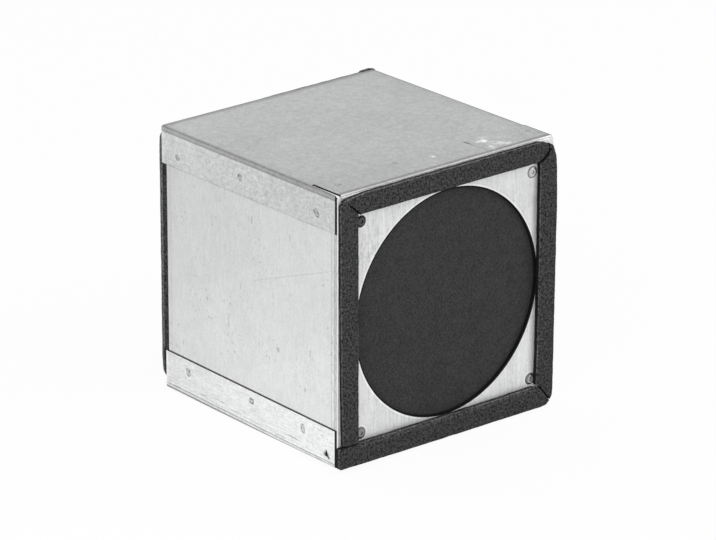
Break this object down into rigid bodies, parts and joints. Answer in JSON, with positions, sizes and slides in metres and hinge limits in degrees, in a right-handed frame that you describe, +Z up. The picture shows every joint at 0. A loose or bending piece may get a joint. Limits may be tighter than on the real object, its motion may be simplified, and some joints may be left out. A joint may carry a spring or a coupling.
{
  "type": "backdraft damper",
  "caption": "Square galvanised casing with foam strips round both ends, a round inlet opening and a top-hung gravity flap behind it.",
  "frame": {"origin": "centre of the base, on the floor under the middle of the casing", "axes": "+Z up, +Y along the air's way from the inlet face to the outlet, +X across, along the hinge shaft"},
  "size_m": [0.2, 0.204, 0.2038],
  "materials": {
    "galvanised_sheet": "satin galvanised sheet",
    "galvanised_plate": "satin galvanised sheet",
    "galvanised_fittings": "satin galvanised sheet",
    "foam_strip": "matt closed-cell foam",
    "flap_facing": "matt foam sheet",
    "seal_rubber": "matt rubber",
    "bush_plastic": "natural white plastic",
    "bright_steel": "bright turned steel",
    "rivet_aluminium": "satin"
  },
  "bodies": {
    "casing": {"bottom_panel": "galvanised_sheet", "front_plate": "galvanised_plate", "front_rivets": "rivet_aluminium", "front_seal_bottom": "foam_strip", "front_seal_left": "foam_strip", "front_seal_right": "foam_strip", "front_seal_top": "foam_strip", "left_bush": "bush_plastic", "left_hinge_bracket": "galvanised_fittings", "left_side_panel": "galvanised_sheet", "open_stop": "galvanised_fittings", "rear_frame": "galvanised_sheet", "rear_seal_bottom": "foam_strip", "rear_seal_left": "foam_strip", "rear_seal_right": "foam_strip", "rear_seal_top": "foam_strip", "right_bush": "bush_plastic", "right_hinge_bracket": "galvanised_fittings", "right_side_panel": "galvanised_sheet", "seat_seal": "seal_rubber", "stop_buffer": "seal_rubber", "top_panel": "galvanised_sheet"},
    "flap": {"blade_plate": "galvanised_fittings", "blade_facing": "flap_facing", "blade_rivets": "rivet_aluminium", "left_hinge_strap": "galvanised_fittings", "right_hinge_strap": "galvanised_fittings", "hinge_shaft": "bright_steel", "shaft_clips": "bright_steel"}
  },
  "joints": [
    {"name": "flap_hinge", "type": "hinge", "parent": "casing", "child": "flap", "pos_m": [0, -0.08668, 0.1953], "axis": [1, 0, 0], "range_deg": [0, 80]}
  ]
}
